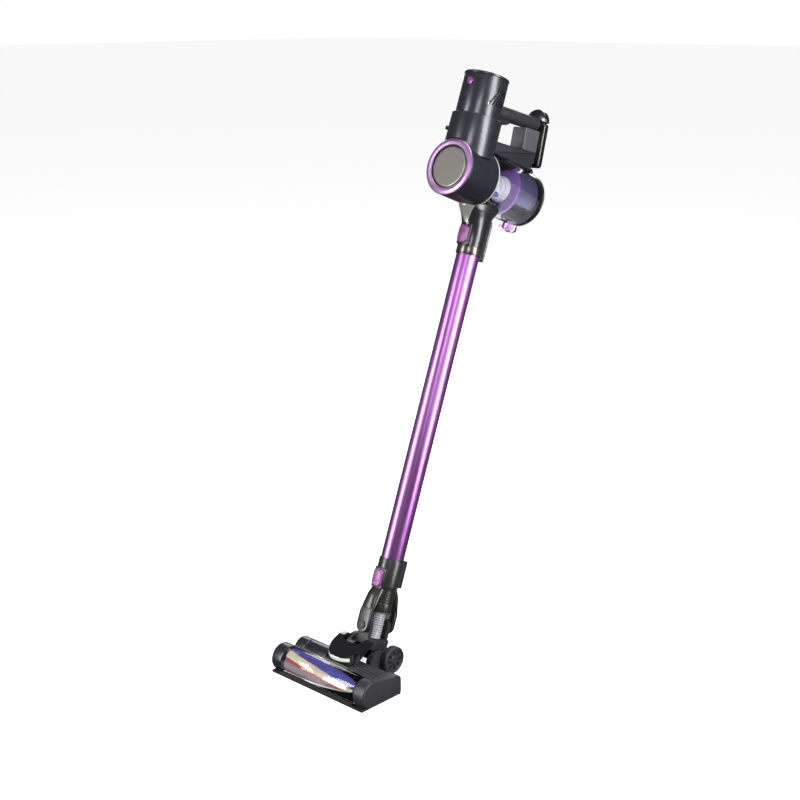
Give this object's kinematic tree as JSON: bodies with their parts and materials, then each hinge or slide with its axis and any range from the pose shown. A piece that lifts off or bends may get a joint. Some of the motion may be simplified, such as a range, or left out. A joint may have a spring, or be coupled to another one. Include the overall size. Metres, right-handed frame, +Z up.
{
  "type": "cordless stick vacuum",
  "caption": "Cordless stick vacuum: handheld motor unit with a clear dust cup and rear battery, straight wand and a tilting powered floor head with a clear brush window",
  "frame": {"origin": "centre of the underside of the floor head's sole plate, on the floor", "axes": "+Z up; -Y is the front of the floor head and +Y the rear, where the wand leans back; +X is on the right seen from the front"},
  "size_m": [0.24, 0.6277, 1.0922],
  "materials": {
    "dark_gloss": "glossy moulded, near black with a blue cast",
    "dark_matte": "fine satin grain",
    "black_gloss": "piano black",
    "gunmetal": "metallic grey coating",
    "purple_tube": "anodised, glossy violet",
    "purple_plastic": "metallic violet coating",
    "silver": "satin silver coating",
    "disc": "satin champagne",
    "smoky": "smoky clear moulding",
    "pale_clear": "frosted clear moulding",
    "lens": "frosted lamp lens",
    "rubber": "matte black",
    "hose": "ribbed flexible",
    "steel": "bright",
    "motor_can": "bright can, standing for its lighter windings and magnets",
    "filter": "pleated filter paper",
    "board": "circuit board green",
    "cells": "wrapped cells",
    "plush": "soft roller cover",
    "bristle": "dense bristle strip"
  },
  "bodies": {
    "handheld": {"main_housing": "dark_gloss", "motor_housing": "dark_gloss", "motor_cap": "dark_gloss", "exhaust_filter": "filter", "fan_motor": "motor_can", "control_board": "board", "front_ring": "purple_plastic", "front_disc": "disc", "neck": "dark_gloss", "neck_panel": "silver", "neck_rail": "dark_matte", "cyclone_body": "pale_clear", "cyclone_ring": "purple_plastic", "mesh_screen": "dark_gloss", "inlet_duct": "purple_plastic", "grip_shell_left": "dark_matte", "grip_shell_right": "dark_matte", "base_arm": "dark_matte", "battery_housing": "dark_matte"},
    "fan": {"fan_impeller": "dark_matte"},
    "power_button": {"power_button": "purple_plastic"},
    "side_knob": {"side_knob": "dark_matte"},
    "neck_button": {"neck_button": "purple_plastic"},
    "trigger": {"trigger": "dark_matte"},
    "cup": {"dust_cup": "smoky", "cup_seal": "rubber"},
    "lid": {"bin_lid": "black_gloss"},
    "bin_latch": {"bin_latch": "purple_plastic"},
    "battery": {"battery_case": "dark_matte", "battery_cover": "black_gloss", "battery_cell_1": "cells", "battery_cell_2": "cells", "battery_cell_3": "cells"},
    "wand": {"wand_tube": "purple_tube", "wand_upper_collar": "gunmetal", "wand_lower_collar": "gunmetal"},
    "head_socket": {"head_socket": "gunmetal", "socket_rail": "dark_matte", "hose": "hose", "roll_pin_front": "steel", "roll_pin_rear": "steel"},
    "socket_button": {"socket_button": "purple_plastic"},
    "elbow": {"elbow": "dark_matte"},
    "floor_head": {"sole_plate": "dark_matte", "belt_cover": "dark_gloss", "side_cap": "dark_matte", "brush_window": "smoky", "deck": "dark_gloss", "brush_motor_housing": "dark_gloss", "brush_motor": "motor_can", "drive_belt": "rubber", "brush_bearing": "silver", "bumper_strip": "rubber", "hood": "black_gloss", "led_lens": "lens"},
    "brush": {"brush_roll": "plush", "bristle_strip": "bristle"},
    "motor_pulley": {"motor_pulley": "steel"},
    "left_wheel": {"wheel_left": "rubber"},
    "right_wheel": {"wheel_right": "rubber"}
  },
  "joints": [
    {"name": "fan_spin", "type": "hinge", "parent": "handheld", "child": "fan", "pos_m": [0, 0.36629, 0.96296], "axis": [0, 0.3535, 0.9354], "continuous": true},
    {"name": "power_button_press", "type": "slide", "parent": "handheld", "child": "power_button", "axis": [0, 0.9354, -0.3535], "range_m": [0, 0.002], "stiffness_N_per_m": 400},
    {"name": "side_knob_press", "type": "slide", "parent": "handheld", "child": "side_knob", "axis": [0.6947, 0.6729, -0.2543], "range_m": [0, 0.002], "stiffness_N_per_m": 400},
    {"name": "neck_button_rock", "type": "hinge", "parent": "handheld", "child": "neck_button", "pos_m": [0, 0.35176, 0.79239], "axis": [-1, 0, 0], "range_deg": [0, 6], "stiffness_Nm_per_rad": 0.4},
    {"name": "trigger_pull", "type": "slide", "parent": "handheld", "child": "trigger", "axis": [0, 0.2538, 0.9673], "range_m": [0, 0.0025], "stiffness_N_per_m": 500},
    {"name": "cup_removal", "type": "slide", "parent": "handheld", "child": "cup", "axis": [0, 0.9354, -0.3535], "range_m": [0, 0.06]},
    {"name": "lid_open", "type": "hinge", "parent": "cup", "child": "lid", "pos_m": [0, 0.53642, 0.89632], "axis": [1, 0, 0], "range_deg": [0, 70]},
    {"name": "bin_latch_press", "type": "hinge", "parent": "cup", "child": "bin_latch", "pos_m": [0, 0.46899, 0.79427], "axis": [-1, 0, 0], "range_deg": [0, 8], "stiffness_Nm_per_rad": 0.3},
    {"name": "battery_removal", "type": "slide", "parent": "handheld", "child": "battery", "axis": [0, 0.9673, -0.2538], "range_m": [0, 0.07]},
    {"name": "wand_release", "type": "slide", "parent": "handheld", "child": "wand", "axis": [0, -0.3535, -0.9354], "range_m": [0, 0.05]},
    {"name": "head_release", "type": "slide", "parent": "wand", "child": "head_socket", "axis": [0, -0.3535, -0.9354], "range_m": [0, 0.05]},
    {"name": "socket_button_rock", "type": "hinge", "parent": "head_socket", "child": "socket_button", "pos_m": [0, 0.11758, 0.17265], "axis": [1, 0, 0], "range_deg": [0, 6], "stiffness_Nm_per_rad": 0.4},
    {"name": "neck_roll", "type": "hinge", "parent": "head_socket", "child": "elbow", "pos_m": [0, 0.10769, 0.07858], "axis": [0, 0.9354, -0.3535], "range_deg": [-40, 40], "deforming": ["hose"]},
    {"name": "neck_pitch", "type": "hinge", "parent": "elbow", "child": "floor_head", "pos_m": [0, 0.102, 0.026], "axis": [1, 0, 0], "range_deg": [-20.7, 60]},
    {"name": "brush_spin", "type": "hinge", "parent": "floor_head", "child": "brush", "pos_m": [0, -0.023, 0.0235], "axis": [1, 0, 0], "continuous": true},
    {"name": "motor_spin", "type": "hinge", "parent": "floor_head", "child": "motor_pulley", "pos_m": [0, 0.029, 0.023], "axis": [1, 0, 0], "continuous": true},
    {"name": "left_wheel_spin", "type": "hinge", "parent": "floor_head", "child": "left_wheel", "pos_m": [0, 0.102, 0.026], "axis": [1, 0, 0], "continuous": true},
    {"name": "right_wheel_spin", "type": "hinge", "parent": "floor_head", "child": "right_wheel", "pos_m": [0, 0.102, 0.026], "axis": [1, 0, 0], "continuous": true}
  ],
  "couplings": [
    {"joint": "motor_spin", "follows": "brush_spin", "ratio": 1.6923}
  ]
}
